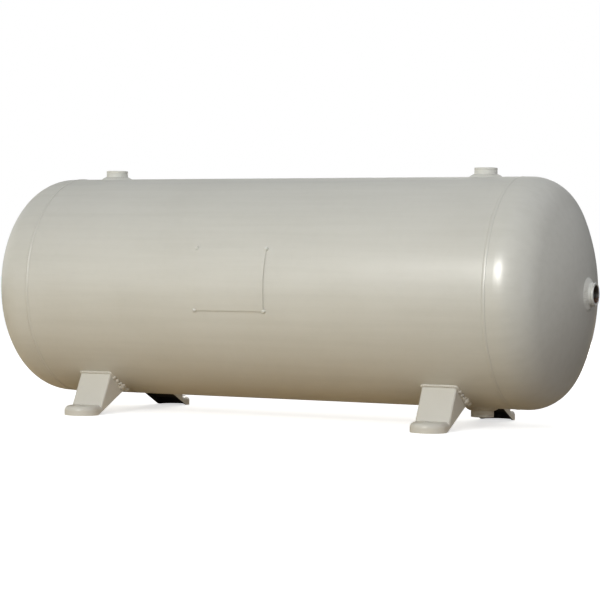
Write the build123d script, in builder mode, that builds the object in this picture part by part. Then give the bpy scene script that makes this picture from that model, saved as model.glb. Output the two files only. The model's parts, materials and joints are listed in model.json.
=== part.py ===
# Horizontal pressure tank on four pressed feet.
# Frame in millimetres: X along the tank, Z up, the origin on the floor under the tank's middle.
from build123d import *
from math import asin, degrees, sqrt
import os

os.makedirs("parts", exist_ok=True)

# Vessel
shell_radius = 381.0
wall = 6.0
floor_gap = 62.0
seam_half = 836.0
head_straight = 30.0
dish_share = 1.8
knuckle_share = 0.36

# Seam welds
root_gap = 3.0
girth_half = 7.0
girth_rise = 2.0
long_half = 6.0
long_rise = 2.0
long_round = 1.2
long_angle = 38.0

# Couplings
coupling_radius = 38.1
bore_radius = 28.5
bore_lead = 1.8
coupling_edge = 1.5
coupling_length = 43.0
coupling_inset = 134.0
coupling_stand = 30.0
end_stand = 24.0
fit_gap = 0.2
fillet_rise = 10.0
fillet_reach = 17.0
fillet_toe = 1.0
fillet_skirt = 9.0

# Feet
foot_inset = 196.0
foot_half = 60.0
foot_wall = 5.0
web_share = 0.619
web_spread = 58.0
web_bend = 2.0
gusset_share = 0.341
gusset_spread = 22.0
gusset_round = 45.0
toe_reach = 31.0
toe_tuck = 34.0
toe_height = 33.0
toe_round = 17.0
bolt_radius = 11.0
bead = 7.0
bead_round = 5.0

# Data plate
plate_left = -181.0
plate_right = 76.0
plate_up = 133.0
plate_down = 72.0
plate_thick = 3.0
plate_corner = 5.0
tack = 6.0

# What follows from the vessel's sizes
axis_height = shell_radius + floor_gap
tank_axis = Axis((0, 0, axis_height), (1, 0, 0))
shell_half = seam_half - root_gap / 2
bore_skin = shell_radius - wall
crown = axis_height + shell_radius
belly = axis_height - shell_radius
probe = shell_radius / 2

# Head profile: a knuckle arc from the straight flange, then the shallow arc of the dish
knuckle_start = seam_half + head_straight
knuckle_radius = knuckle_share * shell_radius
knuckle_height = crown - knuckle_radius
dish_radius = dish_share * shell_radius
dish_turn = degrees(asin((shell_radius - knuckle_radius) / (dish_radius - knuckle_radius)))
dish_centre = knuckle_start - sqrt((dish_radius - knuckle_radius) ** 2 - (shell_radius - knuckle_radius) ** 2)
pole = dish_centre + dish_radius

# Stations along the tank, and the foot's lines across it
coupling_station = seam_half - coupling_inset
foot_station = seam_half - foot_inset
web_head = web_share * shell_radius
web_foot = web_head + web_spread
gusset_head = gusset_share * shell_radius
gusset_foot = web_foot + gusset_spread
toe_centre = web_foot + toe_reach
toe_rear = web_foot - toe_tuck
web_corner = web_bend + foot_wall


def save(piece, name):
    """Name a finished piece and write its file."""
    piece.part.label = name
    export_step(piece.part, f"parts/{name}.step")


def shell_drop(across):
    """Height of the shell's underside at a distance from the middle plane."""
    return axis_height - sqrt(shell_radius**2 - across**2)


def dish_arcs(inset):
    """Draw the right head's dish and knuckle, set in from its outside."""
    CenterArc((dish_centre, axis_height), dish_radius - inset, start_angle=0, arc_size=dish_turn)
    CenterArc(
        (knuckle_start, knuckle_height), knuckle_radius - inset, start_angle=dish_turn, arc_size=90 - dish_turn
    )


# Outside of the whole vessel, which every weld is coped to
with BuildPart() as envelope:
    with BuildSketch(Plane.XZ) as envelope_face:
        with BuildLine() as envelope_line:
            dish_arcs(0)
            Polyline((knuckle_start, crown), (0, crown), (0, axis_height), (pole, axis_height))
        make_face()
        mirror(about=Plane.YZ)
    revolve(axis=tank_axis)

# Rolled shell with its open long seam and the three coupling holes
with BuildPart() as shell:
    with BuildSketch(Plane.YZ.offset(-shell_half)) as shell_ring:
        with Locations((0, axis_height)):
            Circle(shell_radius)
            Circle(bore_skin, mode=Mode.SUBTRACT)
    extrude(amount=2 * shell_half)
    with Locations(
        (-coupling_station, 0, crown),
        (coupling_station, 0, crown),
        (coupling_station, 0, belly),
    ):
        Cylinder(coupling_radius + fit_gap, probe, mode=Mode.SUBTRACT)
    with Locations(Pos(0, 0, axis_height) * Rot(long_angle, 0, 0) * Pos(0, shell_radius, 0)):
        Box(2 * seam_half, 4 * wall, root_gap, mode=Mode.SUBTRACT)
save(shell, "shell")


# Dished head: a straight flange, the knuckle and the dish, with the hole for its coupling
with BuildPart() as right_head:
    with BuildSketch(Plane.XZ) as head_face:
        with BuildLine() as head_line:
            dish_arcs(0)
            Polyline(
                (knuckle_start, crown),
                (seam_half + root_gap / 2, crown),
                (seam_half + root_gap / 2, crown - wall),
                (knuckle_start, crown - wall),
            )
            dish_arcs(wall)
            Line((pole - wall, axis_height), (pole, axis_height))
        make_face()
    revolve(axis=tank_axis)
    with Locations((pole, 0, axis_height)):
        Cylinder(coupling_radius + fit_gap, probe, rotation=(0, 90, 0), mode=Mode.SUBTRACT)
save(right_head, "right_head")

with BuildPart() as left_head:
    add(mirror(right_head.part, about=Plane.YZ, mode=Mode.PRIVATE))
save(left_head, "left_head")


def girth_weld(side):
    """Ring weld between the shell and a head: a root in the gap and a crown on top."""
    middle = side * seam_half
    with BuildPart() as ring:
        with BuildSketch(Plane.XZ) as ring_face:
            with BuildLine() as ring_line:
                ThreePointArc(
                    (middle - girth_half, crown), (middle, crown + girth_rise), (middle + girth_half, crown)
                )
                Line((middle + girth_half, crown), (middle - girth_half, crown))
            make_face()
            with Locations((middle, crown - wall / 2)):
                Rectangle(root_gap, wall)
        revolve(axis=tank_axis)
    return ring


for side, hand in ((-1, "left"), (1, "right")):
    save(girth_weld(side), f"{hand}_girth_weld")

# Long seam weld along the back: a crown between the girth welds and a root to the shell's ends
seam_frame = Pos(0, axis_height) * Rot(0, 0, long_angle)
with BuildPart() as long_seam_weld:
    with BuildSketch(Plane.YZ.offset(girth_half - seam_half)) as seam_crown:
        with Locations(seam_frame * Pos(shell_radius, 0)):
            Rectangle(2 * long_rise, 2 * long_half)
        fillet(seam_crown.vertices(), long_round)
        with Locations((0, axis_height)):
            Circle(shell_radius, mode=Mode.SUBTRACT)
    extrude(amount=2 * (seam_half - girth_half))
    with BuildSketch(Plane.YZ.offset(-shell_half)) as seam_root:
        with Locations(seam_frame * Pos(shell_radius - wall / 2, 0)):
            Rectangle(wall, root_gap)
        with Locations((0, axis_height)):
            Circle(shell_radius, mode=Mode.INTERSECT)
    extrude(amount=2 * shell_half)
save(long_seam_weld, "long_seam_weld")


def facing(spot, outward):
    """Plane that holds a coupling's axis, its local y pointing out of the tank."""
    return Plane(origin=spot, x_dir=(0, 1, 0), z_dir=Vector(0, 1, 0).cross(Vector(*outward)))


def coupling(spot, outward, stand):
    """Threaded coupling through the wall at a spot, standing proud of it."""
    inside = stand - coupling_length
    with BuildPart() as pipe:
        with BuildSketch(facing(spot, outward)) as pipe_face:
            with BuildLine() as pipe_line:
                Polyline(
                    (bore_radius, inside),
                    (coupling_radius - coupling_edge, inside),
                    (coupling_radius, inside + coupling_edge),
                    (coupling_radius, stand - coupling_edge),
                    (coupling_radius - coupling_edge, stand),
                    (bore_radius + bore_lead, stand),
                    (bore_radius, stand - bore_lead),
                    close=True,
                )
            make_face()
        revolve(axis=Axis(spot, outward))
    return pipe


def coupling_weld(spot, outward):
    """Fillet around a coupling, coped to the vessel's outside."""
    reach = coupling_radius + fillet_reach
    with BuildPart() as ring:
        with BuildSketch(facing(spot, outward)) as ring_face:
            with BuildLine() as ring_line:
                Polyline(
                    (coupling_radius, fillet_rise),
                    (reach, fillet_toe),
                    (reach + fillet_skirt, -fillet_skirt),
                    (coupling_radius, -fillet_skirt),
                    close=True,
                )
            make_face()
        revolve(axis=Axis(spot, outward))
        add(envelope.part, mode=Mode.SUBTRACT)
    return ring


couplings = (
    ("top_left_coupling", (-coupling_station, 0, crown), (0, 0, 1), coupling_stand),
    ("top_right_coupling", (coupling_station, 0, crown), (0, 0, 1), coupling_stand),
    ("bottom_coupling", (coupling_station, 0, belly), (0, 0, -1), coupling_stand),
    ("left_end_coupling", (-pole, 0, axis_height), (-1, 0, 0), end_stand),
    ("right_end_coupling", (pole, 0, axis_height), (1, 0, 0), end_stand),
)
for name, spot, outward, stand in couplings:
    save(coupling(spot, outward, stand), name)
    save(coupling_weld(spot, outward), f"{name}_weld")

# Foot outline: the web's slope, and the gussets' free edge
web_high = shell_drop(web_head)
gusset_high = shell_drop(gusset_head)
web_slope = (web_foot - web_head) / (web_high - toe_height)
web_stretch = sqrt(1 + web_slope**2)
web_ground = web_foot + web_slope * toe_height
gusset_slope = gusset_high / (gusset_foot - gusset_head)
inner_reach = gusset_head / 2


def wedge(station, side, half, skin, corner):
    """Block behind the web's slope, set in by a skin and rounded at both web corners."""
    ground = web_ground - skin
    top = ground - web_slope * axis_height
    with BuildPart() as body:
        with BuildSketch(Plane.YZ.offset(station - half)) as body_face:
            with BuildLine() as body_line:
                Polyline(
                    (side * ground, 0),
                    (side * top, axis_height),
                    (0, axis_height),
                    (0, 0),
                    close=True,
                )
            make_face()
        extrude(amount=2 * half)
        slope_edges = body.edges().filter_by(Axis((0, 0, 0), (0, -side * web_slope, 1)))
        fillet(slope_edges, corner)
    return body


def toe(station, side, half, height, round_over):
    """Domed toe: a half-round slab with its upper edge rounded over."""
    with BuildPart() as cap:
        with BuildSketch(Plane.XY) as cap_face:
            with Locations((station, side * toe_centre)):
                Circle(half)
            with Locations((station, side * (toe_rear + toe_centre) / 2)):
                Rectangle(2 * half, toe_centre - toe_rear)
        extrude(amount=height)
        rim = cap.faces().sort_by(Axis.Z)[-1].edges()
        fillet([edge for edge in rim if abs(edge.center().Y) > toe_rear + foot_wall], round_over)
    return cap


def under_edge(station, side):
    """Everything below the gussets' free edge and its rounded foot."""
    with BuildPart() as below:
        with BuildSketch(Plane.YZ.offset(station - 2 * foot_half)) as below_face:
            with BuildLine() as below_line:
                Polyline(
                    (side * inner_reach, gusset_slope * (gusset_foot - inner_reach)),
                    (side * gusset_foot, 0),
                    (side * shell_radius, 0),
                    (side * shell_radius, -toe_height),
                    (side * inner_reach, -toe_height),
                    close=True,
                )
            make_face()
            bend = below_face.vertices().sort_by_distance((side * gusset_foot, 0, 0))[0]
            fillet(bend, gusset_round)
        extrude(amount=4 * foot_half)
    return below


def foot_block(station, side):
    """Filled foot above its free edge, coped to the shell."""
    with BuildPart() as block:
        add(wedge(station, side, foot_half, 0, web_corner).part)
        add(under_edge(station, side).part, mode=Mode.SUBTRACT)
        with Locations((station, 0, axis_height)):
            Cylinder(shell_radius, 4 * foot_half, rotation=(0, 90, 0), mode=Mode.SUBTRACT)
            Box(4 * foot_half, 2 * inner_reach, 2 * axis_height, mode=Mode.SUBTRACT)
    return block


def foot(station, side, block):
    """Pressed foot: the block with its toe, hollowed from below, with the bolt hole."""
    inner_half = foot_half - foot_wall
    inner_height = toe_height - foot_wall
    with BuildPart() as pressing:
        add(toe(station, side, foot_half, toe_height, toe_round).part)
        add(under_edge(station, side).part, mode=Mode.SUBTRACT)
        add(block.part)
        add(wedge(station, side, inner_half, foot_wall * web_stretch, web_bend).part, mode=Mode.SUBTRACT)
        add(toe(station, side, inner_half, inner_height, toe_round - foot_wall).part, mode=Mode.SUBTRACT)
        with Locations((station, side * toe_centre, toe_height)):
            Cylinder(bolt_radius, 2 * toe_height, mode=Mode.SUBTRACT)
    return pressing


def foot_weld(station, side, block):
    """Bead along the foot's outer edge on the shell, rounded over on its outside."""
    with BuildPart() as weld:
        add(wedge(station, side, foot_half + bead, -bead * web_stretch, web_corner + bead).part)
        add(under_edge(station, side).part, mode=Mode.SUBTRACT)
        with Locations((station, 0, axis_height)):
            Cylinder(shell_radius + bead, 4 * foot_half, rotation=(0, 90, 0), mode=Mode.INTERSECT)
            Cylinder(shell_radius, 4 * foot_half, rotation=(0, 90, 0), mode=Mode.SUBTRACT)
            Box(4 * foot_half, 2 * inner_reach, 2 * axis_height, mode=Mode.SUBTRACT)
        add(block.part, mode=Mode.SUBTRACT)
        skin = max(weld.faces().filter_by(GeomType.CYLINDER), key=lambda face: face.radius)
        fillet([edge for edge in skin.edges() if edge.distance_to(block.part) > bead / 2], bead_round)
    return weld


for station, end in ((-foot_station, "left"), (foot_station, "right")):
    for side, depth in ((-1, "front"), (1, "back")):
        block = foot_block(station, side)
        save(foot(station, side, block), f"{depth}_{end}_foot")
        save(foot_weld(station, side, block), f"{depth}_{end}_foot_weld")

# Curved data plate on the front, and the tack weld at each of its corners
plate_top = degrees(asin(plate_up / shell_radius))
plate_low = degrees(asin(plate_down / shell_radius))
plate_face = shell_radius + plate_thick
with BuildPart() as data_plate:
    with BuildSketch(Plane.YZ.offset(plate_left)) as plate_end:
        with Locations((0, axis_height)):
            Circle(plate_face)
            Circle(shell_radius, mode=Mode.SUBTRACT)
        with Locations((-shell_radius, axis_height + (plate_up - plate_down) / 2)):
            Rectangle(probe, plate_up + plate_down, mode=Mode.INTERSECT)
    extrude(amount=plate_right - plate_left)
    fillet(data_plate.edges().filter_by(Axis.Y), plate_corner)
save(data_plate, "data_plate")

with BuildPart() as plate_tacks:
    for rise in (plate_up, -plate_down):
        across = -sqrt(shell_radius**2 - rise**2)
        with Locations((plate_left, across, axis_height + rise), (plate_right, across, axis_height + rise)):
            Sphere(tack)
    add(envelope.part, mode=Mode.SUBTRACT)
    add(data_plate.part, mode=Mode.SUBTRACT)
save(plate_tacks, "plate_tacks")
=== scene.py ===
"""Looks of a horizontal pressure tank: enamel, weld beads, pipe threads, light and camera."""

import json
import logging
import math
from dataclasses import dataclass, field, replace
from enum import Enum
from typing import Callable

import bmesh
import bpy
from mathutils import Matrix, Vector, noise

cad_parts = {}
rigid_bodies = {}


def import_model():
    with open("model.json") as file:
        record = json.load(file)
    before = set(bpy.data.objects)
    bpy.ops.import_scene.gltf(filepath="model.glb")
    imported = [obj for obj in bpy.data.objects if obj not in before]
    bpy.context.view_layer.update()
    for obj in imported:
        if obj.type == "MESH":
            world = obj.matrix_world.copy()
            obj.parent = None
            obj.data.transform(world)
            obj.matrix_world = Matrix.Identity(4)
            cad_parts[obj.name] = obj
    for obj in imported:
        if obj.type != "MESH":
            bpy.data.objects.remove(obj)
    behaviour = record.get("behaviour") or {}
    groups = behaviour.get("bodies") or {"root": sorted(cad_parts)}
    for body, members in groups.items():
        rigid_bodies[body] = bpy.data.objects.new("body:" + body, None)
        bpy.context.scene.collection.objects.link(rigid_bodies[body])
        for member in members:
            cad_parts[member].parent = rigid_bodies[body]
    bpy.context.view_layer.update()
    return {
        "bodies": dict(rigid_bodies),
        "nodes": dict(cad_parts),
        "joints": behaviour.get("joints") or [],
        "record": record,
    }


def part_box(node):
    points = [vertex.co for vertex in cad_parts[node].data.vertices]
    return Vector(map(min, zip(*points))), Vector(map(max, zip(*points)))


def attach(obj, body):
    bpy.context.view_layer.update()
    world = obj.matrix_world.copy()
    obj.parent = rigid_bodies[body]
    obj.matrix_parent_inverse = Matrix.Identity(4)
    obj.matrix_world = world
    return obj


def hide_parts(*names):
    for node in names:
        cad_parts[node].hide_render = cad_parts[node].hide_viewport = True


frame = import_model()
NODES = frame["nodes"]
LOG = logging.getLogger("tank")

Color = tuple[float, float, float, float]
Socket = bpy.types.NodeSocket
Node = bpy.types.Node
Tree = bpy.types.NodeTree
Material = bpy.types.Material
Mesh = bmesh.types.BMesh
Piece = bpy.types.Object
WHITE: Color = (1.0, 1.0, 1.0, 1.0)
BLACK: Color = (0.0, 0.0, 0.0, 1.0)


class Slot(Enum):
    """The record's material slots of the welds, the couplings and the plate."""

    WELD = "weld_paint"
    COUPLING = "coupling_paint"
    PLATE = "plate_paint"


class Grain(Enum):
    """How the place is stretched before the roller's streaks are drawn on it."""

    ALONG = (0.6, 13.0, 13.0)
    NONE = (1.0, 1.0, 1.0)


@dataclass(frozen=True)
class VesselForm:
    """Outer form of the vessel, which the welds, the couplings and the plate sit on."""

    radius: float = 0.381
    axis_height: float = 0.443
    seam_half: float = 0.836
    straight: float = 0.030
    dish_share: float = 1.8
    knuckle_share: float = 0.36

    @property
    def knuckle_start(self) -> float:
        """Where the straight flange ends."""
        return self.seam_half + self.straight

    @property
    def knuckle_radius(self) -> float:
        """Radius of the bend between the flange and the dish."""
        return self.knuckle_share * self.radius

    @property
    def dish_radius(self) -> float:
        """Radius of the shallow dish."""
        return self.dish_share * self.radius

    @property
    def dish_centre(self) -> float:
        """Where the centre of the dish lies along the tank."""
        slant = self.dish_radius - self.knuckle_radius
        return self.knuckle_start - math.sqrt(slant**2 - (self.radius - self.knuckle_radius) ** 2)

    def skin(self, along: float, turn: float, off: float = 0.0) -> Vector:
        """Point on the shell or off it.

        Args:
            along: place along the tank.
            turn: angle about the tank's axis, from the back (+Y) towards the top.
            off: distance from the skin.

        Returns:
            The point.
        """
        reach = self.radius + off
        return Vector((along, reach * math.cos(turn), self.axis_height + reach * math.sin(turn)))

    def gap(self, point: Vector) -> float:
        """Distance of a point from the vessel's skin, negative inside it.

        Args:
            point: the point, in the tank's own frame.

        Returns:
            The distance in metres.
        """
        across = math.hypot(point.y, point.z - self.axis_height)
        beyond = abs(point.x) - self.knuckle_start
        if beyond <= 0:
            return across - self.radius
        inward = self.radius - self.knuckle_radius
        if across * (self.knuckle_start - self.dish_centre) > (abs(point.x) - self.dish_centre) * inward:
            return math.hypot(beyond, across - inward) - self.knuckle_radius
        return math.hypot(abs(point.x) - self.dish_centre, across) - self.dish_radius


FORM = VesselForm()


@dataclass
class Graph:
    """Short way to add nodes and links to one node tree.

    Args:
        tree: the node tree that is built.
        count: how many nodes have been added.
    """

    tree: Tree
    count: int = 0

    def add(self, kind: str, **values: object) -> Node:
        """Add a node and set its properties.

        Args:
            kind: the node's type name.
            values: properties to set on the node.

        Returns:
            The new node.
        """
        node = self.tree.nodes.new(kind)
        self.count += 1
        node.location = (180 * self.count, -60 * (self.count % 5))
        for key, value in values.items():
            setattr(node, key, value)
        return node

    def link(self, source: Socket, target: Socket) -> None:
        """Join two sockets."""
        self.tree.links.new(source, target)

    def feed(self, value: object, socket: Socket) -> None:
        """Link a socket, or set a plain value, into an input.

        Args:
            value: a socket, a number or a colour.
            socket: the input that takes it.
        """
        if isinstance(value, Socket):
            self.link(value, socket)
        else:
            socket.default_value = value

    def math(self, operation: str, first: object, second: object = 0.0, clamp: bool = False) -> Socket:
        """Add a math node.

        Args:
            operation: Blender's name of the operation.
            first: a socket or a number.
            second: a socket or a number.
            clamp: whether the result is kept between 0 and 1.

        Returns:
            The result's socket.
        """
        node = self.add("ShaderNodeMath", operation=operation, use_clamp=clamp)
        self.feed(first, node.inputs[0])
        self.feed(second, node.inputs[1])
        return node.outputs[0]

    def noise(self, place: Socket, scale: float, detail: float = 3.0, rough: float = 0.5) -> Socket:
        """Add a noise texture.

        Args:
            place: the coordinates' socket.
            scale: how many blotches a metre holds.
            detail: octaves of finer noise.
            rough: strength of the finer noise.

        Returns:
            The value's socket.
        """
        node = self.add("ShaderNodeTexNoise")
        self.link(place, node.inputs["Vector"])
        node.inputs["Scale"].default_value = scale
        node.inputs["Detail"].default_value = detail
        node.inputs["Roughness"].default_value = rough
        return node.outputs["Fac"]

    def stretch(self, place: Socket, scale: tuple[float, float, float]) -> Socket:
        """Scale coordinates along each axis.

        Args:
            place: the coordinates' socket.
            scale: how much along X, Y and Z.

        Returns:
            The scaled coordinates' socket.
        """
        node = self.add("ShaderNodeMapping")
        self.link(place, node.inputs["Vector"])
        node.inputs["Scale"].default_value = scale
        return node.outputs["Vector"]

    def step(self, value: Socket, low: object, high: object) -> Socket:
        """Add a smooth step from 0 at low to 1 at high.

        Args:
            value: the value's socket.
            low: a socket or a number, where the step starts.
            high: a socket or a number, where it is full.

        Returns:
            The result's socket.
        """
        node = self.add("ShaderNodeMapRange", interpolation_type="SMOOTHSTEP")
        self.link(value, node.inputs["Value"])
        self.feed(low, node.inputs["From Min"])
        self.feed(high, node.inputs["From Max"])
        return node.outputs["Result"]

    def mix(self, factor: object, first: object, second: object) -> Socket:
        """Add a colour mix, whose colour sockets share their names with its float and vector ones.

        Args:
            factor: a socket or a number, 0 for the first colour and 1 for the second.
            first: a socket or a colour.
            second: a socket or a colour.

        Returns:
            The mixed colour's socket.
        """
        first_color, second_color, result_color = 6, 7, 2
        node = self.add("ShaderNodeMix", data_type="RGBA")
        self.feed(factor, node.inputs["Factor"])
        self.feed(first, node.inputs[first_color])
        self.feed(second, node.inputs[second_color])
        return node.outputs[result_color]

    def grow(self, value: object, mask: object, share: object, clamp: bool = True) -> Socket:
        """Add a share of a mask to a value."""
        return self.math("ADD", value, self.math("MULTIPLY", mask, share), clamp)

    def axis(self, place: Socket, name: str) -> Socket:
        """One coordinate, X, Y or Z, of a place or a direction.

        Args:
            place: the coordinates' socket.
            name: the coordinate's name.

        Returns:
            The value's socket.
        """
        node = self.add("ShaderNodeSeparateXYZ")
        self.link(place, node.inputs[0])
        return node.outputs[name]

    def group(self, tree: Tree, values: dict[str, object]) -> dict[str, Socket]:
        """Add a node group, feed its inputs by name and give its outputs.

        Args:
            tree: the group's node tree.
            values: a socket, a number or a colour for each input.

        Returns:
            The group's outputs, by name.
        """
        node = self.add("ShaderNodeGroup", node_tree=tree)
        for name, value in values.items():
            self.feed(value, node.inputs[name])
        return node.outputs

    def bump(self, height: Socket, strength: float, distance: float, shader: Node) -> None:
        """Give a shader a bump, whose distance is in metres.

        Args:
            height: the height's socket.
            strength: the bump's strength, from 0 to 1.
            distance: how far a height of 1 stands out.
            shader: the shader that takes the bump.
        """
        node = self.add("ShaderNodeBump")
        self.feed(strength, node.inputs["Strength"])
        self.feed(distance, node.inputs["Distance"])
        self.link(height, node.inputs["Height"])
        self.link(node.outputs["Normal"], shader.inputs["Normal"])

    def place(self) -> Socket:
        """Object coordinates, which are the tank's own."""
        return self.add("ShaderNodeTexCoord").outputs["Object"]

    def hollow(self, along: float = 0.64, depth: float = 0.20) -> Socket:
        """Mask of the faces that look into a pressed foot, from their place and their normal.

        Args:
            along: distance from the tank's middle to a foot's, along the tank.
            depth: distance from the tank's middle to the hollow's, across the tank.

        Returns:
            The value's socket, 1 inside the pressing.
        """
        height_share, starts, full = 0.5, 0.004, 0.012
        coordinates = self.add("ShaderNodeTexCoord").outputs
        spot, normal = coordinates["Object"], coordinates["Normal"]
        outward = 0.0
        for name, middle in (("X", along), ("Y", depth)):
            place = self.axis(spot, name)
            offset = self.math("SUBTRACT", self.math("ABSOLUTE", place), middle)
            facing = self.math("MULTIPLY", self.axis(normal, name), self.math("SIGN", place))
            outward = self.grow(outward, offset, facing, clamp=False)
        fall = self.math("MULTIPLY", self.axis(normal, "Z"), height_share)
        outward = self.grow(outward, self.axis(spot, "Z"), fall, clamp=False)
        return self.step(self.math("MULTIPLY", outward, -1.0), starts, full)


def open_group(name: str, inputs: dict[str, str], outputs: dict[str, str]) -> tuple[Graph, Node, Node]:
    """Start a shader node group with named sockets.

    Args:
        name: the group's name.
        inputs: each socket's name and kind, such as Float.
        outputs: the same for what it puts out.

    Returns:
        The graph, its input node and its output node.
    """
    group = bpy.data.node_groups.new(name, "ShaderNodeTree")
    for way, sockets in (("INPUT", inputs), ("OUTPUT", outputs)):
        for label, kind in sockets.items():
            group.interface.new_socket(name=label, in_out=way, socket_type=f"NodeSocket{kind}")
    graph = Graph(group)
    return graph, graph.add("NodeGroupInput"), graph.add("NodeGroupOutput")


def open_material(name: str) -> tuple[Material, Graph, Node]:
    """Start a material, and give it with its graph and its shader.

    Args:
        name: the material's name.

    Returns:
        The material, its graph and its shader.
    """
    made = bpy.data.materials.new(name)
    made.use_nodes = True
    return made, Graph(made.node_tree), made.node_tree.nodes["Principled BSDF"]


def enamel_tone_group() -> Tree:
    """Group that varies an enamel's colour with clouds, roller streaks and a painted brown ground
    reflection with painted shade, darker towards the bottom, and masks a dust film on the crown.

    Returns:
        The node group.
    """
    graph, source, sink = open_group(
        "enamel_tone",
        {
            "Base": "Color",
            "Shade": "Color",
            "Ground Shade": "Color",
            "Ground Shade Amount": "Float",
            "Streak Place": "Vector",
        },
        {"Color": "Color", "Ground Shade Mask": "Float", "Film Mask": "Float"},
    )
    cloud_share, streak_share, mottle_share = 0.45, 0.35, 0.12
    ground_shade_top, crown_start, crown_full = 0.46, 0.70, 0.79
    even_part, patchy_part = 0.72, 0.56
    place = graph.place()
    height = graph.axis(place, "Z")
    clouds = graph.step(graph.noise(place, 2.3, 4.0), 0.3, 0.75)
    streaks = graph.step(graph.noise(source.outputs["Streak Place"], 3.0, 5.0, 0.6), 0.35, 0.75)
    mottle = graph.step(graph.noise(place, 38.0, 3.0), 0.4, 0.8)
    shade = graph.math("MULTIPLY", clouds, cloud_share)
    shade = graph.grow(shade, streaks, streak_share, clamp=False)
    shade = graph.grow(shade, mottle, mottle_share)
    toned = graph.mix(shade, source.outputs["Base"], source.outputs["Shade"])
    # painted reflection and shade: low parts turn browner and darker towards the bottom, standing in for
    # light thrown up by brown ground and for shade under the tank
    low = graph.math("SUBTRACT", 1.0, graph.step(height, 0.0, ground_shade_top))
    ragged = graph.grow(even_part, graph.noise(place, 6.0, 5.0, 0.6), patchy_part, clamp=False)
    shaded_low = graph.math("MULTIPLY", low, ragged)
    dust_and_ground_shade = graph.math("MULTIPLY", shaded_low, source.outputs["Ground Shade Amount"], clamp=True)
    graph.link(graph.mix(dust_and_ground_shade, toned, source.outputs["Ground Shade"]), sink.inputs["Color"])
    graph.link(dust_and_ground_shade, sink.inputs["Ground Shade Mask"])
    crown = graph.step(height, crown_start, crown_full)
    graph.link(graph.math("MULTIPLY", crown, ragged, clamp=True), sink.inputs["Film Mask"])
    return graph.tree


def enamel_skin_group() -> Tree:
    """Group that gives an enamel's height: orange peel, a slow roll and fine grit.

    Returns:
        The node group.
    """
    graph, source, sink = open_group(
        "enamel_skin",
        {"Peel": "Float", "Roll": "Float"},
        {"Height": "Float", "Sheen": "Float"},
    )
    grit_share = 0.03
    place = graph.place()
    peel = graph.noise(place, 260.0, 2.0)
    roll = graph.noise(graph.stretch(place, (1.0, 2.2, 2.2)), 4.0, 2.0)
    grit = graph.step(graph.noise(place, 900.0, 0.0), 0.7, 0.8)
    height = graph.math("MULTIPLY", peel, source.outputs["Peel"])
    height = graph.grow(height, roll, source.outputs["Roll"], clamp=False)
    height = graph.grow(height, grit, grit_share, clamp=False)
    graph.link(height, sink.inputs["Height"])
    graph.link(graph.noise(place, 11.0, 4.0, 0.6), sink.inputs["Sheen"])
    return graph.tree


def flake_group() -> Tree:
    """Group that gives a mask of small chips and thin rust.

    Returns:
        The node group.
    """
    graph, source, sink = open_group("chips_and_rust", {"Amount": "Float"}, {"Mask": "Float"})
    rarest, spread, softness = 0.95, 0.6, 0.08
    patches = graph.noise(graph.place(), 60.0, 4.0, 0.65)
    edge = graph.math("SUBTRACT", rarest, graph.math("MULTIPLY", source.outputs["Amount"], spread))
    graph.link(graph.step(patches, edge, graph.math("ADD", edge, softness)), sink.inputs["Mask"])
    return graph.tree


TONE = enamel_tone_group()
SKIN = enamel_skin_group()
FLAKES = flake_group()


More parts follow.
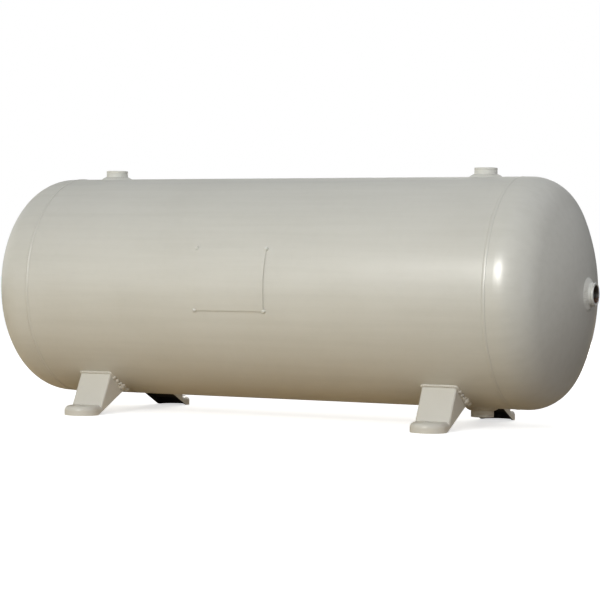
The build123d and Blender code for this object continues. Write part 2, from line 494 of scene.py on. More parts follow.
@dataclass(frozen=True)
class EnamelFinish:
    """Semi-gloss enamel over steel.

    Args:
        name: the material's name.
        base: main colour.
        shade: colour of the slightly darker clouds and streaks.
        dust_and_ground_shade: colour of the dust in weld grooves, and of the painted brown ground
            reflection and shade on the low parts.
        rust: colour of the rust in small chips.
        ground_shade_amount: how much painted brown ground reflection and shade lies on the low parts,
            growing towards the bottom.
        chips: how many small chips there are, from 0 to 1.
        gloss: roughness of clean paint.
        peel: height of the orange peel.
        roll: height of the slow roll of the plate under the paint.
        bump: distance of the bump in metres.
        bump_strength: strength of the bump.
        grain: which way the streaks run.
        grooved: whether dust gathers in the grooves of a weld.
        groove_dust: how much dust a groove holds.
        hollow: whether the inside of a pressed foot is painted near black, a painted shade where the
            pressing lies in shadow.
        hollow_shade: colour of that painted shade.
        index: the paint's index of refraction.
    """

    name: str
    base: Color = (0.60, 0.575, 0.505, 1.0)
    shade: Color = (0.53, 0.505, 0.435, 1.0)
    dust_and_ground_shade: Color = (0.36, 0.25, 0.13, 1.0)
    rust: Color = (0.16, 0.07, 0.03, 1.0)
    ground_shade_amount: float = 0.22
    chips: float = 0.0
    gloss: float = 0.25
    peel: float = 0.14
    roll: float = 0.3
    bump: float = 0.0012
    bump_strength: float = 0.35
    grain: Grain = Grain.ALONG
    grooved: bool = False
    groove_dust: float = 0.12
    hollow: bool = False
    hollow_shade: Color = (0.026, 0.023, 0.019, 1.0)
    index: float = 1.65

    def material(self) -> Material:
        """Build the material.

        Returns:
            The new material.
        """
        sheen_rough, ground_shade_rough, film_rough = 0.16, 0.30, 0.42
        groove_rough, hollow_rough, chip_rough = 0.15, 0.4, 0.3
        made, graph, shader = open_material(self.name)
        tone = graph.group(
            TONE,
            {
                "Base": self.base,
                "Shade": self.shade,
                "Ground Shade": self.dust_and_ground_shade,
                "Ground Shade Amount": self.ground_shade_amount,
                "Streak Place": graph.stretch(graph.place(), self.grain.value),
            },
        )
        skin = graph.group(SKIN, {"Peel": self.peel, "Roll": self.roll})
        color = tone["Color"]
        rough = graph.grow(self.gloss, skin["Sheen"], sheen_rough, clamp=False)
        rough = graph.grow(rough, tone["Ground Shade Mask"], ground_shade_rough)
        rough = graph.grow(rough, tone["Film Mask"], film_rough)
        if self.grooved:
            groove = graph.add("ShaderNodeAttribute", attribute_name="groove").outputs["Fac"]
            color = graph.mix(graph.math("MULTIPLY", groove, self.groove_dust), color, self.dust_and_ground_shade)
            rough = graph.grow(rough, groove, groove_rough)
        if self.hollow:
            # painted shade: faces that look into a pressed foot are painted near black and made rougher
            hollow = graph.hollow()
            color = graph.mix(hollow, color, self.hollow_shade)
            rough = graph.grow(rough, hollow, hollow_rough)
        if self.chips:
            chipped = graph.group(FLAKES, {"Amount": self.chips})["Mask"]
            color = graph.mix(chipped, color, self.rust)
            rough = graph.grow(rough, chipped, chip_rough)
        graph.link(color, shader.inputs["Base Color"])
        graph.link(rough, shader.inputs["Roughness"])
        graph.bump(skin["Height"], self.bump_strength, self.bump, shader)
        shader.inputs["IOR"].default_value = self.index
        return made


@dataclass(frozen=True)
class ThreadFinish:
    """Machined steel of a pipe thread, filmed with oil and thin rust.

    Args:
        name: the material's name.
        steel: colour of the clean metal.
        rust: colour of the rust film.
        amount: how much rust there is.
        clean_rough: roughness of the clean metal.
        rust_rough: how much the rust adds to it.
        bump: distance of the bump in metres.
        bump_strength: strength of the bump.
    """

    name: str
    steel: Color = (0.30, 0.285, 0.265, 1.0)
    rust: Color = (0.13, 0.062, 0.028, 1.0)
    amount: float = 0.75
    clean_rough: float = 0.32
    rust_rough: float = 0.4
    bump: float = 0.0004
    bump_strength: float = 0.3

    def material(self) -> Material:
        """Build the material.

        Returns:
            The new material.
        """
        made, graph, shader = open_material(self.name)
        rusted = graph.group(FLAKES, {"Amount": self.amount})["Mask"]
        graph.link(graph.mix(rusted, self.steel, self.rust), shader.inputs["Base Color"])
        graph.link(graph.math("SUBTRACT", 1.0, rusted), shader.inputs["Metallic"])
        rough = graph.grow(self.clean_rough, rusted, self.rust_rough, clamp=False)
        graph.link(rough, shader.inputs["Roughness"])
        graph.bump(graph.noise(graph.place(), 600.0, 2.0), self.bump_strength, self.bump, shader)
        return made


def placed(name: str, mesh: Mesh, materials: list[Material]) -> Piece:
    """Put a bmesh in the scene as an object.

    Args:
        name: the object's name.
        mesh: the finished bmesh, which is freed.
        materials: its materials, in the order of the faces' indices.

    Returns:
        The new object.
    """
    data = bpy.data.meshes.new(name)
    mesh.to_mesh(data)
    mesh.free()
    for material in materials:
        data.materials.append(material)
    made = bpy.data.objects.new(name, data)
    bpy.context.scene.collection.objects.link(made)
    return made


def finished(name: str, mesh: Mesh, materials: list[Material], node: str) -> Piece:
    """Turn a bmesh into a piece that rides on the tank and stands for a CAD node.

    Args:
        name: the piece's name.
        mesh: the finished bmesh, which is freed.
        materials: its materials, in the order of the faces' indices.
        node: the CAD node that it stands for.

    Returns:
        The new object.
    """
    for face in mesh.faces:
        face.smooth = True
    piece = placed(name, mesh, materials)
    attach(piece, "root")
    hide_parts(node)
    LOG.info("%s: %d faces, in place of %s", name, len(piece.data.polygons), node)
    return piece


def painted(node: str, material: Material) -> None:
    """Give a CAD node its finish and keep its shape.

    Args:
        node: the node's name.
        material: its finish.
    """
    slots = NODES[node].data.materials
    slots.clear()
    slots.append(material)
    LOG.info("%s: painted", node)


@dataclass(frozen=True)
class BeadTexture:
    """Ripples that a welder's strokes leave on a bead.

    Args:
        pitch: distance between ripples.
        depth: height of a ripple.
        sag: how far a ripple's middle runs ahead of its ends, in ripples.
        seed: where the bead's own unevenness starts.
        wander: how far a ripple strays from its place, in ripples.
        wander_scale: how many times a metre it strays.
        steepness: how sharply a ripple falls behind its crest.
        mean: height about which the ripples rise and fall, as a share of their depth.
    """

    pitch: float
    depth: float
    sag: float = 0.55
    seed: float = 0.0
    wander: float = 0.35
    wander_scale: float = 20.0
    steepness: float = 1.6
    mean: float = 0.42

    def rings(self, length: float) -> "BeadTexture":
        """The same ripples with a pitch that divides a closed bead's length."""
        return replace(self, pitch=length / round(length / self.pitch))

    def lift(self, run: float, across: float, spot: Vector) -> tuple[float, float]:
        """Height of the ripples at a place on the bead.

        Args:
            run: distance along the bead.
            across: place across the bead, from -1 to 1.
            spot: the same place in space, which the unevenness follows.

        Returns:
            The height in metres and how deep in a groove the place is, from 0 to 1.
        """
        stray = self.wander * noise.noise(spot * self.wander_scale + Vector((self.seed, 0, 0)))
        phase = run / self.pitch + stray - self.sag * across * across
        crest = (1.0 - (phase - math.floor(phase))) ** self.steepness
        fade = max(0.0, 1 - across**4)
        return self.depth * fade * (crest - self.mean), (1 - crest) ** 2 * fade


def bead_tube(
    steps: int, ribs: int, closed: bool, place: Callable[[float, float, float], tuple[Vector, float]]
) -> Mesh:
    """Closed tube that lies along a bead, its underside sunk in what the bead lies on.

    Args:
        steps: faces along the bead.
        ribs: faces round it.
        closed: whether the bead meets its own start.
        place: gives a point and its groove from the share along, 0 to 1, the place across, -1 to 1,
            and the sink, 0 to 1.

    Returns:
        The bmesh, with the float layer groove.
    """
    top_share = 0.7
    mesh = bmesh.new()
    bmesh.ops.create_grid(mesh, x_segments=steps, y_segments=ribs, size=1.0)
    layer = mesh.verts.layers.float.new("groove")
    for vert in mesh.verts:
        share, around = (vert.co.x + 1) / 2, vert.co.y
        if abs(around) <= top_share:
            vert.co, vert[layer] = place(share, around / top_share, 0.0)
        else:
            under = (abs(around) - top_share) / (1 - top_share)
            vert.co, _ = place(share, math.copysign(1 - under, around), math.sin(math.pi / 2 * under))
    bmesh.ops.remove_doubles(mesh, verts=mesh.verts, dist=1e-6)
    if not closed:
        bmesh.ops.holes_fill(mesh, edges=mesh.edges, sides=0)
    bmesh.ops.recalc_face_normals(mesh, faces=mesh.faces)
    return mesh


def add_lump(mesh: Mesh, spot: Vector, size: float, rough: float, seed: float) -> None:
    """Add an uneven drop of weld metal.

    Args:
        mesh: the bmesh that it joins.
        spot: its middle.
        size: its radius.
        rough: how uneven it is.
        seed: where its unevenness starts.
    """
    swells, dents, dent_share = 1.6, 5.0, 0.3
    start = Vector((seed, 0, 0))
    made = bmesh.ops.create_icosphere(mesh, subdivisions=4, radius=size)
    for vert in made["verts"]:
        bulge = 1 + rough * noise.noise(vert.co * (swells / size) + start)
        bulge += dent_share * rough * noise.noise(vert.co * (dents / size) + start)
        vert.co = vert.co * bulge + spot


@dataclass
class Vessel:
    """Shell, heads and the welds that join them.

    Args:
        paint: finish of the shell and the heads.
        weld_paint: finish of the seams.
    """

    paint: Material
    weld_paint: Material
    bead_half: float = 0.0066
    left_rise: float = 0.0018
    right_rise: float = 0.0007
    pitch: float = 0.0075
    ripple_share: float = 0.5
    drift: float = 0.0009
    long_half: float = 0.0062
    long_rise: float = 0.0020
    long_pitch: float = 0.0050
    long_ripple: float = 0.0008
    long_angle: float = 38.0
    sink: float = 0.0025

    def girth_seam(self, side: int, node: str) -> Piece:
        """Rippled ring weld round one end of the shell.

        Args:
            side: -1 for the left end, 1 for the right.
            node: the CAD node that it stands for.

        Returns:
            The piece.
        """
        uneven_share, uneven_scale = 0.22, 22
        drift_scale, drift_start = 14, Vector((7.0, 0, 0))
        least_rise = -0.0001
        length = 2 * math.pi * FORM.radius
        crown = self.left_rise if side < 0 else self.right_rise
        texture = BeadTexture(self.pitch, self.ripple_share * crown, seed=side * 3.0).rings(length)

        def place(share: float, across: float, sunk: float) -> tuple[Vector, float]:
            """Point of the bead's surface.

            Args:
                share: share of the way along the bead, 0 to 1.
                across: place across it, -1 to 1.
                sunk: how far it has sunk under the skin, 0 to 1.

            Returns:
                The point, and how deep in a groove it is.
            """
            turn = 2 * math.pi * share
            middle = FORM.skin(side * FORM.seam_half, turn)
            uneven = 1 + uneven_share * noise.noise(middle * uneven_scale)
            drift = self.drift * noise.noise(middle * drift_scale + drift_start)
            along = middle.x + across * self.bead_half + drift
            if sunk:
                return FORM.skin(along, turn, -self.sink * sunk), 0.0
            lift, groove = texture.lift(share * length, across, middle)
            rise = (1 - across * across) ** 2 * crown * uneven + lift
            return FORM.skin(along, turn, max(rise, least_rise)), groove

        mesh = bead_tube(steps=1440, ribs=10, closed=True, place=place)
        return finished(f"{node}_bead", mesh, [self.weld_paint], node)

    def long_seam(self) -> Piece:
        """Rippled straight weld along the back of the shell.

        Returns:
            The piece.
        """
        uneven_share, uneven_scale, bite = 0.2, 25, 0.0003
        length = 2 * (FORM.seam_half - self.bead_half)
        tilt = math.radians(self.long_angle)
        texture = BeadTexture(self.long_pitch, self.long_ripple, seed=9.0)

        def place(share: float, across: float, sunk: float) -> tuple[Vector, float]:
            """Point of the bead's surface.

            Args:
                share: share of the way along the bead, 0 to 1.
                across: place across it, -1 to 1.
                sunk: how far it has sunk under the skin, 0 to 1.

            Returns:
                The point, and how deep in a groove it is.
            """
            run = (share - 0.5) * length
            turn = tilt + across * self.long_half / FORM.radius
            if sunk:
                return FORM.skin(run, turn, -self.sink * sunk), 0.0
            middle = FORM.skin(run, tilt)
            lift, groove = texture.lift(run, across, middle)
            uneven = 1 + uneven_share * noise.noise(middle * uneven_scale)
            rise = (1 - across * across) * self.long_rise * uneven + lift
            return FORM.skin(run, turn, max(rise, 0.0) - bite), groove

        mesh = bead_tube(steps=1320, ribs=9, closed=False, place=place)
        return finished("long_seam_bead", mesh, [self.weld_paint], "long_seam_weld")

    def build(self) -> None:
        """Paint the shell and the heads, and lay the seams."""
        for node in ("shell", "left_head", "right_head"):
            painted(node, self.paint)
        self.girth_seam(-1, "left_girth_weld")
        self.girth_seam(1, "right_girth_weld")
        self.long_seam()


@dataclass
class Coupling:
    """Threaded coupling and the fillet weld at its foot.

    Args:
        node: CAD node of the coupling.
        outward: unit vector out of the tank.
        stand: how far its mouth stands proud of the vessel.
        paint: enamel outside.
        thread: bare metal inside.
        weld_paint: enamel over the weld.
    """

    node: str
    outward: Vector
    stand: float
    paint: Material
    thread: Material
    weld_paint: Material
    radius: float = 0.0381
    bore: float = 0.0285
    length: float = 0.043
    edge: float = 0.0013
    lead: float = 0.0018
    thread_pitch: float = 0.0022
    thread_depth: float = 0.0014
    weld_rise: float = 0.0095
    weld_reach: float = 0.0168
    ripple_pitch: float = 0.0072
    ripple: float = 0.0018

    def frame(self) -> Matrix:
        """Matrix that takes a coupling drawn up +Z from the vessel's skin to its place.

        Returns:
            The matrix.
        """
        low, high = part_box(self.node)
        middle = (low + high) / 2
        spot = middle + self.outward * (self.length / 2 - self.stand)
        turn = Vector((0, 0, 1)).rotation_difference(self.outward).to_matrix().to_4x4()
        return Matrix.Translation(spot) @ turn

    def turned(self, section: list[tuple[float, float]], steps: int) -> Mesh:
        """Closed ring turned about +Z.

        Args:
            section: distance from the axis and height of each corner, in order.
            steps: faces round the axis.

        Returns:
            The bmesh.
        """
        mesh = bmesh.new()
        verts = [mesh.verts.new((across, 0, up)) for across, up in section]
        edges = [mesh.edges.new(pair) for pair in zip(verts, verts[1:] + verts[:1])]
        centre, axis, turn = (0, 0, 0), (0, 0, 1), 2 * math.pi
        drawn = verts + edges
        bmesh.ops.spin(mesh, geom=drawn, cent=centre, axis=axis, angle=turn, steps=steps, use_merge=True)
        bmesh.ops.remove_doubles(mesh, verts=mesh.verts, dist=1e-6)
        bmesh.ops.recalc_face_normals(mesh, faces=mesh.faces)
        return mesh

    def body(self) -> Piece:
        """Turned outside and threaded bore.

        Returns:
            The piece.
        """
        low, high = self.stand - self.length, self.stand
        root = self.bore + self.thread_depth
        scratch, rounding = 0.0005, self.edge * 0.3
        ring_low, ring_high = high - 7 * self.edge, high - 6 * self.edge
        outline = [
            (root, low),
            (self.radius - self.edge, low),
            (self.radius, low + self.edge),
            (self.radius, ring_low),
            (self.radius - scratch, ring_low + scratch),
            (self.radius - scratch, ring_high - scratch),
            (self.radius, ring_high),
            (self.radius, high - self.edge),
            (self.radius - rounding, high - rounding),
            (self.radius - self.edge, high),
            (self.bore + self.lead + scratch, high),
            (self.bore + self.lead, high - scratch),
            (root, high - 2 * scratch),
        ]
        mesh = self.turned(outline, steps=96)
        for face in mesh.faces:
            middle = face.calc_center_median()
            inside = math.hypot(middle.x, middle.y) < root + scratch / 2
            face.material_index = 1 if inside else 0
        self.add_thread(mesh, low, high - 2 * scratch)
        bmesh.ops.transform(mesh, matrix=self.frame(), verts=mesh.verts)
        return finished(f"{self.node}_turned", mesh, [self.paint, self.thread], self.node)

    def add_thread(self, mesh: Mesh, low: float, high: float) -> None:
        """Add the helical ridge of the thread to the bore.

        Args:
            mesh: the coupling's bmesh.
            low: the thread's lowest place along the bore.
            high: its highest place.
        """
        pitch, root = self.thread_pitch, self.bore + self.thread_depth
        back, turn_steps = 0.0004, 60
        turns = int((high - low) / pitch) - 1
        deep, tip = root + back, self.bore + back / 2
        ridge = [(deep, 0.5), (deep, 0.02), (tip, 0.44), (tip, 0.56), (deep, 0.98), (deep, 0.5)]
        ribs = len(ridge) - 1
        made = bmesh.ops.create_grid(mesh, x_segments=turns * turn_steps, y_segments=ribs, size=1.0)
        for vert in made["verts"]:
            share = (vert.co.x + 1) / 2
            across, up = ridge[round((vert.co.y + 1) / 2 * ribs)]
            turn = 2 * math.pi * turns * share
            rise = low + pitch * (turns * share + up)
            vert.co = Vector((across * math.cos(turn), across * math.sin(turn), rise))
        for vert in made["verts"]:
            for face in vert.link_faces:
                face.material_index = 1
        bmesh.ops.remove_doubles(mesh, verts=made["verts"], dist=1e-7)
        ends = bmesh.ops.holes_fill(mesh, edges=[edge for edge in mesh.edges if edge.is_boundary], sides=0)
        for face in ends["faces"]:
            face.material_index = 1
        bmesh.ops.recalc_face_normals(mesh, faces=mesh.faces)

    def weld(self) -> Piece:
        """Rippled fillet round the coupling's foot, which follows the vessel's skin.

        Returns:
            The piece.
        """
        ribs, skirt, toe, bite = 9, 0.005, 0.0003, 0.0003
        spread_power, fall_power, clear_share = 1.15, 0.85, 0.02
        uneven_height, uneven_scale, slant = 0.0022, 35, math.sqrt(0.5)
        section = [(self.radius - bite, -skirt)]
        for rib in range(ribs + 1):
            share = rib / ribs
            across = self.radius - bite + self.weld_reach * share**spread_power
            section.append((across, self.weld_rise * (1 - share) ** fall_power + toe))
        section.append((self.radius + self.weld_reach + skirt, -skirt))
        mesh = self.turned(section, steps=360)
        layer = mesh.verts.layers.float.new("groove")
        frame = self.frame()
        length = 2 * math.pi * (self.radius + self.weld_reach / 2)
        texture = BeadTexture(self.ripple_pitch, self.ripple, seed=frame.translation.x * 3).rings(length)
        for vert in mesh.verts:
            out = math.hypot(vert.co.x, vert.co.y)
            share = (out - self.radius) / self.weld_reach
            if vert.co.z < 0 or share <= clear_share:
                continue
            angle = math.atan2(vert.co.y, vert.co.x)
            spot = frame @ vert.co
            across = min(2 * share - 1, 1.0)
            lift, vert[layer] = texture.lift(angle / (2 * math.pi) * length, across, spot)
            uneven = uneven_height * math.sin(math.pi * min(share, 1)) * noise.noise(spot * uneven_scale)
            push = (lift + uneven) * slant
            vert.co += Vector((push * math.cos(angle), push * math.sin(angle), push))
        heights = [vert.co.z for vert in mesh.verts]
        bmesh.ops.transform(mesh, matrix=frame, verts=mesh.verts)
        for vert, height in zip(mesh.verts, heights):
            vert.co += self.outward * (height - FORM.gap(vert.co))
        name = f"{self.node}_weld"
        return finished(f"{name}_bead", mesh, [self.weld_paint], name)

    def build(self) -> None:
        """Make the coupling and its weld."""
        self.body()
        self.weld()


@dataclass
class Foot:
    """Pressed foot's paint and the bead that welds it to the shell.

    Args:
        node: CAD node of the foot.
        side: -1 for the front, 1 for the back.
        paint: enamel of the foot.
        weld_paint: enamel over the weld.
    """

    node: str
    side: int
    paint: Material
    weld_paint: Material
    web_head: float = 0.2358
    gusset_head: float = 0.1299
    corner: float = 0.007
    bead: float = 0.0066
    ripple_pitch: float = 0.0062
    ripple: float = 0.0011
    lump_shares: tuple[float, ...] = (0.0, 0.2, 0.3, 0.46, 0.64, 0.84)
    lump_sizes: tuple[float, ...] = (0.0118, 0.0128, 0.0168, 0.0116, 0.0102, 0.0096)
    station: float = field(init=False)
    half: float = field(init=False)
    low_climb: float = field(init=False)
    side_run: float = field(init=False)
    bend: float = field(init=False)
    length: float = field(init=False)

    def __post_init__(self) -> None:
        """Measure the foot once: its place, its half width and how far up the shell it reaches."""
        low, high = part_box(self.node)
        self.station, self.half = (low.x + high.x) / 2, (high.x - low.x) / 2
        self.low_climb = math.asin(self.gusset_head / FORM.radius) * FORM.radius
        self.side_run = math.asin(self.web_head / FORM.radius) * FORM.radius - self.low_climb - self.corner
        self.bend = math.pi / 2 * self.corner
        self.length = 2 * (self.side_run + self.bend + self.half - self.corner)

    def centre(self, share: float) -> Vector:
        """Point on the shell's skin where the bead runs.

        Args:
            share: share of the way along the bead, 0 to 1.

        Returns:
            The point.
        """
        run, flip = (share * self.length, 1.0) if share <= 0.5 else ((1 - share) * self.length, -1.0)
        inner = self.half - self.corner
        if run <= self.side_run:
            offset, climb = self.half, run
        elif run <= self.side_run + self.bend:
            turn = (run - self.side_run) / self.corner
            offset = inner + self.corner * math.cos(turn)
            climb = self.side_run + self.corner * math.sin(turn)
        else:
            offset, climb = inner - (run - self.side_run - self.bend), self.side_run + self.corner
        angle = (self.low_climb + climb) / FORM.radius
        return Vector((
            self.station + flip * offset,
            self.side * FORM.radius * math.sin(angle),
            FORM.axis_height - FORM.radius * math.cos(angle),
        ))

    def weld(self) -> Piece:
        """Rippled bead round three sides of the foot, with lumps along its sides.

        Returns:
            The piece.
        """
        heart_depth, heart_height, step = 0.18, 0.10, 0.002
        dip, tuck, sweep_share, start = 0.35, 0.3, 0.60, 0.02
        flat_share, uneven_share, uneven_scale = 0.8, 0.16, 40
        right_swell, lump_rough = 0.95, 0.14
        heart = Vector((self.station, self.side * heart_depth, heart_height))
        texture = BeadTexture(self.ripple_pitch, self.ripple, seed=self.station * 4 + self.side)

        def place(share: float, across: float, sunk: float) -> tuple[Vector, float]:
            """Point of the bead's surface.

            Args:
                share: share of the way along the bead, 0 to 1.
                across: place across it, -1 to 1.
                sunk: how far it has sunk under the skin, 0 to 1.

            Returns:
                The point, and how deep in a groove it is.
            """
            here = self.centre(share)
            ahead = self.centre(min(share + step, 1.0)) - self.centre(max(share - step, 0.0))
            skin = Vector((0, here.y, here.z - FORM.axis_height)).normalized()
            out = ahead.normalized().cross(skin).normalized()
            if out.dot(here - heart) < 0:
                out.negate()
            if sunk:
                spread = (1 - across) / 2
                bed = spread * (1 - sunk) * out - dip * sunk * skin - tuck * sunk * out
                return here + self.bead * bed, 0.0
            turn = (across + 1) / 2 * math.pi * sweep_share - start
            size = self.bead * (1 + uneven_share * noise.noise(here * uneven_scale))
            lift, groove = texture.lift(share * self.length, across * flat_share, here)
            return here + (size + lift) * (math.cos(turn) * out + math.sin(turn) * skin), groove

        mesh = bead_tube(steps=340, ribs=12, closed=False, place=place)
        reach = self.side_run / self.length
        for share, size in zip(self.lump_shares, self.lump_sizes):
            for spot, swell in ((share * reach, 1.0), (1 - share * reach, right_swell)):
                add_lump(mesh, self.centre(spot), swell * size, lump_rough, self.station + spot * 9)
        name = f"{self.node}_weld"
        return finished(f"{name}_bead", mesh, [self.weld_paint], name)

    def build(self) -> None:
        """Paint the foot and make its weld."""
        painted(self.node, self.paint)
        self.weld()


@dataclass
class DataPlate:
    """Bare plate tacked to the shell at its corners, slightly bowed off it between them.

    Args:
        paint: enamel of the plate.
        weld_paint: enamel of the tacks.
    """

    paint: Material
    weld_paint: Material
    left: float = -0.181
    right: float = 0.076
    up: float = 0.133
    down: float = 0.072
    thick: float = 0.003
    corner: float = 0.005
    bow: float = 0.0009
    bevel: float = 0.0004
    tack: float = 0.0066

    def wrapped(self, along: float, rise: float, off: float) -> Vector:
        """Point off the shell's front, at an angle above the tank's axis."""
        return FORM.skin(along, math.pi - rise, off)

    def angles(self) -> tuple[float, float]:
        """Angles of the plate's top and bottom edges above the tank's axis."""
        return math.asin(self.up / FORM.radius), -math.asin(self.down / FORM.radius)

    def plate(self) -> Piece:
        """Thin plate wrapped on the shell.

        Returns:
            The piece.
        """
        columns, rows, middle_lift, edge_lift = 26, 22, 0.45, 0.55
        top, low = self.angles()
        width, tall = self.right - self.left, (top - low) * FORM.radius
        mesh = bmesh.new()
        bmesh.ops.create_grid(mesh, x_segments=1, y_segments=1, size=0.5)
        bmesh.ops.scale(mesh, vec=(width, tall, 1), verts=mesh.verts)
        bmesh.ops.bevel(
            mesh, geom=mesh.verts[:], offset=self.corner, offset_type="OFFSET",
            segments=4, profile=0.5, affect="VERTICES", material=-1,
        )
        for count, normal, size in ((columns, (1, 0, 0), width), (rows, (0, 1, 0), tall)):
            for cut in range(1, count):
                place = Vector(normal) * size * (cut / count - 0.5)
                geometry = mesh.faces[:] + mesh.edges[:] + mesh.verts[:]
                bmesh.ops.bisect_plane(mesh, geom=geometry, plane_co=place, plane_no=normal)
        middle = (self.left + self.right) / 2
        for vert in mesh.verts:
            across, rise = 2 * vert.co.x / width, 2 * vert.co.y / tall
            held = 1 - across * across * rise * rise
            lifted = held * (middle_lift + edge_lift * max(abs(across), abs(rise)))
            turn = (top + low) / 2 + vert.co.y / FORM.radius
            vert.co = self.wrapped(middle + vert.co.x, turn, self.thick + self.bow * lifted)
        bmesh.ops.recalc_face_normals(mesh, faces=mesh.faces)
        if sum(face.normal.y for face in mesh.faces) > 0:
            bmesh.ops.reverse_faces(mesh, faces=mesh.faces)
        bmesh.ops.solidify(mesh, geom=mesh.faces[:], thickness=self.thick)
        piece = finished("data_plate_sheet", mesh, [self.paint], "data_plate")
        edge = piece.modifiers.new("edge", "BEVEL")
        edge.width, edge.segments = self.bevel, 2
        edge.limit_method, edge.angle_limit = "ANGLE", math.radians(40)
        edge.harden_normals = True
        return piece

    def tacks(self) -> Piece:
        """Lumpy tack weld at each corner.

        Returns:
            The piece.
        """
        off, rough, seed_step = 0.0012, 0.22, 5.0
        mesh = bmesh.new()
        top, low = self.angles()
        corners = ((self.left, top), (self.right, top), (self.right, low), (self.left, low))
        for number, (along, rise) in enumerate(corners):
            add_lump(mesh, self.wrapped(along, rise, off), self.tack, rough, number * seed_step)
        return finished("plate_tack_beads", mesh, [self.weld_paint], "plate_tacks")

    def build(self) -> None:
        """Make the plate and its tacks."""
        self.plate()
        self.tacks()


def aimed(forward: Vector, spin: float = 0.0) -> Matrix:
    """Rotation that looks along a direction with level sides, then rolls.

    Args:
        forward: direction of view.
        spin: roll in radians.

    Returns:
        The rotation as a 4 by 4 matrix.
    """
    right = forward.cross(Vector((0, 0, 1))).normalized()
    up = right.cross(forward)
    side = math.cos(spin) * right + math.sin(spin) * up
    top = -math.sin(spin) * right + math.cos(spin) * up
    return Matrix((side, top, -forward)).transposed().to_4x4()


@dataclass(frozen=True)
class Lamp:
    """Soft round light that points at the tank's middle.

    Args:
        name: the light's name.
        turn: degrees from the front towards the tank's right end.
        rise: degrees above the floor.
        power: watts.
        tint: light colour.
        far: distance in metres.
        size: width of the light in metres.
        diffuse: whether it lights matt surfaces.
        glossy: whether it shows as a highlight.
    """

    name: str
    turn: float
    rise: float
    power: float
    tint: tuple[float, float, float]
    far: float = 8.0
    size: float = 4.0
    diffuse: bool = True
    glossy: bool = True

    def hang(self) -> None:
        """Put the light in the scene."""
        data = bpy.data.lights.new(self.name, "AREA")
        data.shape = "DISK"
        data.size = self.size
        data.energy = self.power
        data.color = self.tint
        lamp = bpy.data.objects.new(self.name, data)
        across, up = math.radians(self.turn), math.radians(self.rise)
        away = Vector((math.sin(across) * math.cos(up), -math.cos(across) * math.cos(up), math.sin(up)))
        target = Vector((0, 0, FORM.axis_height))
        lamp.matrix_world = Matrix.Translation(target + away * self.far) @ aimed(-away)
        lamp.visible_diffuse, lamp.visible_glossy = self.diffuse, self.glossy
        bpy.context.scene.collection.objects.link(lamp)


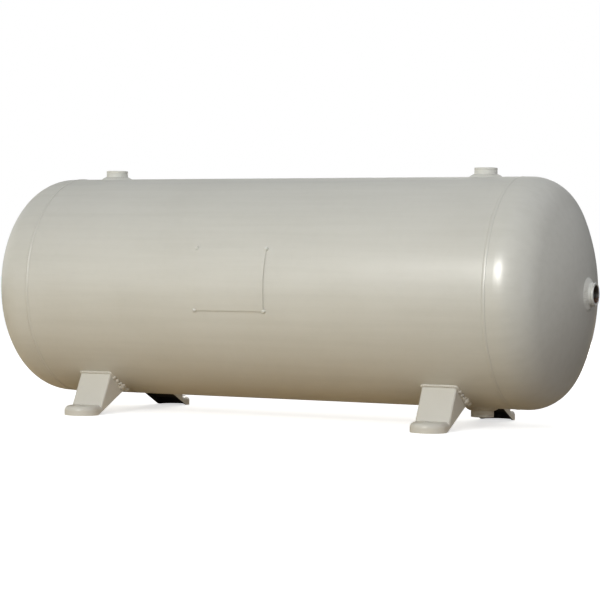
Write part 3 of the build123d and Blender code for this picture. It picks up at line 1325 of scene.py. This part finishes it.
@dataclass
class Studio:
    """Pale floor, soft lights and the camera at the photograph's angle."""

    lamps: tuple[Lamp, ...] = (
        Lamp("key", turn=2, rise=21, power=142, tint=(0.86, 0.94, 1), far=7, size=1.1, glossy=False),
        Lamp("glint", turn=2, rise=21, power=320, tint=(1, 0.99, 0.95), far=7, size=0.9, diffuse=False),
        Lamp("front_fill", turn=27, rise=30, power=104, tint=(0.97, 0.94, 0.93), glossy=False),
        Lamp("right_fill", turn=70, rise=7, power=112, tint=(0.76, 0.79, 0.93), glossy=False),
        Lamp("side_fill", turn=-65, rise=20, power=28, tint=(1, 0.78, 0.42), glossy=False),
        Lamp("back_fill", turn=170, rise=45, power=60, tint=(0.95, 0.98, 1)),
        Lamp("low_back_fill", turn=-165, rise=14, power=190, tint=(1, 0.97, 0.92), size=3),
    )
    camera_place: tuple[float, float, float] = (2.972, -6.240, 0.519)
    yaw: float = 0.4405
    pitch: float = 0.0165
    roll: float = 0.0134
    focal: float = 2003.7
    image: float = 600.0
    sensor: float = 36.0
    sight: float = 200.0
    floor_half: float = 60.0
    floor_glow: float = 0.64

    def camera(self) -> None:
        """Set up the camera."""
        data = bpy.data.cameras.new("camera")
        data.sensor_width = self.sensor
        data.lens = self.focal / self.image * self.sensor
        data.clip_end = self.sight
        view = bpy.data.objects.new("camera", data)
        forward = Vector((
            -math.sin(self.yaw) * math.cos(self.pitch),
            math.cos(self.yaw) * math.cos(self.pitch),
            -math.sin(self.pitch),
        ))
        view.matrix_world = Matrix.Translation(self.camera_place) @ aimed(forward, self.roll)
        bpy.context.scene.collection.objects.link(view)
        bpy.context.scene.camera = view

    def floor(self) -> None:
        """Lay the floor: white to the eye, warm in the light that it throws back up, and dark in that
        light beyond the tank's right end, a painted shadow.
        """
        mesh = bmesh.new()
        bmesh.ops.create_grid(mesh, x_segments=1, y_segments=1, size=self.floor_half)
        warm, dim, pale = (0.68, 0.55, 0.37, 1), (0.12, 0.10, 0.075, 1), (0.93, 0.93, 0.92, 1)
        made, graph, shader = open_material("floor")
        seen = graph.add("ShaderNodeLightPath").outputs["Is Camera Ray"]
        # painted shadow: beyond the tank's right end the floor throws back only dim light
        right = graph.step(graph.axis(graph.place(), "X"), 0.7, 1.25)
        bounce = graph.mix(right, warm, dim)
        graph.link(graph.mix(seen, bounce, pale), shader.inputs["Base Color"])
        graph.link(graph.mix(seen, BLACK, WHITE), shader.inputs["Emission Color"])
        shader.inputs["Emission Strength"].default_value = self.floor_glow
        shader.inputs["Roughness"].default_value = 0.9
        shader.inputs["Specular IOR Level"].default_value = 0.0
        ground = placed("floor", mesh, [made])

    def sky(self) -> None:
        """Light the surroundings softly, brighter low down and to the left, before a white backdrop."""
        low_left, low_right = (1.26, 1.30, 1.26, 1), (0.30, 0.31, 0.30, 1)
        high_left, high_right = (0.32, 0.345, 0.40, 1), (0.12, 0.13, 0.14, 1)
        behind_top = 0.9
        world = bpy.data.worlds.new("studio")
        bpy.context.scene.world = world
        world.use_nodes = True
        graph = Graph(world.node_tree)
        direction = graph.add("ShaderNodeTexCoord").outputs["Generated"]
        high = graph.step(graph.axis(direction, "Z"), 0.0, 0.7)
        right = graph.step(graph.axis(direction, "X"), 0.3, 0.85)
        low_light = graph.mix(right, low_left, low_right)
        light = graph.mix(high, low_light, graph.mix(right, high_left, high_right))
        behind = graph.step(graph.axis(direction, "Y"), 0.3, 1.0)
        dim = graph.math("MULTIPLY", graph.math("SUBTRACT", behind_top, high), behind, clamp=True)
        light = graph.mix(dim, light, BLACK)
        back = world.node_tree.nodes["Background"]
        seen = graph.add("ShaderNodeLightPath").outputs["Is Camera Ray"]
        graph.link(graph.mix(seen, light, WHITE), back.inputs["Color"])
        back.inputs["Strength"].default_value = 1.0

    def build(self) -> None:
        """Make the floor, the lights and the camera."""
        self.floor()
        self.sky()
        for lamp in self.lamps:
            lamp.hang()
        bpy.context.scene.view_settings.view_transform = "Standard"
        self.camera()


def main() -> None:
    """Build every piece of the scene."""
    logging.basicConfig(level=logging.INFO, format="%(name)s: %(message)s")
    tank = EnamelFinish("tank_enamel").material()
    fresh = EnamelFinish(
        "fresh", base=(0.65, 0.63, 0.565, 1.0), shade=(0.58, 0.56, 0.495, 1.0), grain=Grain.NONE
    )
    weld = replace(fresh, name="weld_enamel", peel=0.25, roll=0.0, grooved=True).material()
    foot = replace(
        fresh, name="foot_enamel", ground_shade_amount=0.15, roll=0.25, chips=0.32, hollow=True, index=1.42
    ).material()
    pipe = replace(fresh, name="coupling_enamel", roll=0.1, chips=0.36).material()
    plate = EnamelFinish("plate_enamel", roll=0.4).material()
    thread = ThreadFinish("pipe_thread").material()
    seam = EnamelFinish("seam_enamel", peel=0.0, roll=0.0, grain=Grain.NONE).material()
    Vessel(tank, seam).build()
    shell_stand, end_stand = 0.030, 0.024
    for node, outward, stand in (
        ("top_left_coupling", (0, 0, 1), shell_stand),
        ("top_right_coupling", (0, 0, 1), shell_stand),
        ("bottom_coupling", (0, 0, -1), shell_stand),
        ("left_end_coupling", (-1, 0, 0), end_stand),
        ("right_end_coupling", (1, 0, 0), end_stand),
    ):
        Coupling(node, Vector(outward), stand, pipe, thread, weld).build()
    for end in ("left", "right"):
        for side, depth in ((-1, "front"), (1, "back")):
            Foot(f"{depth}_{end}_foot", side, foot, weld).build()
    DataPlate(plate, weld).build()
    Studio().build()


if __name__ == "__main__":
    main()
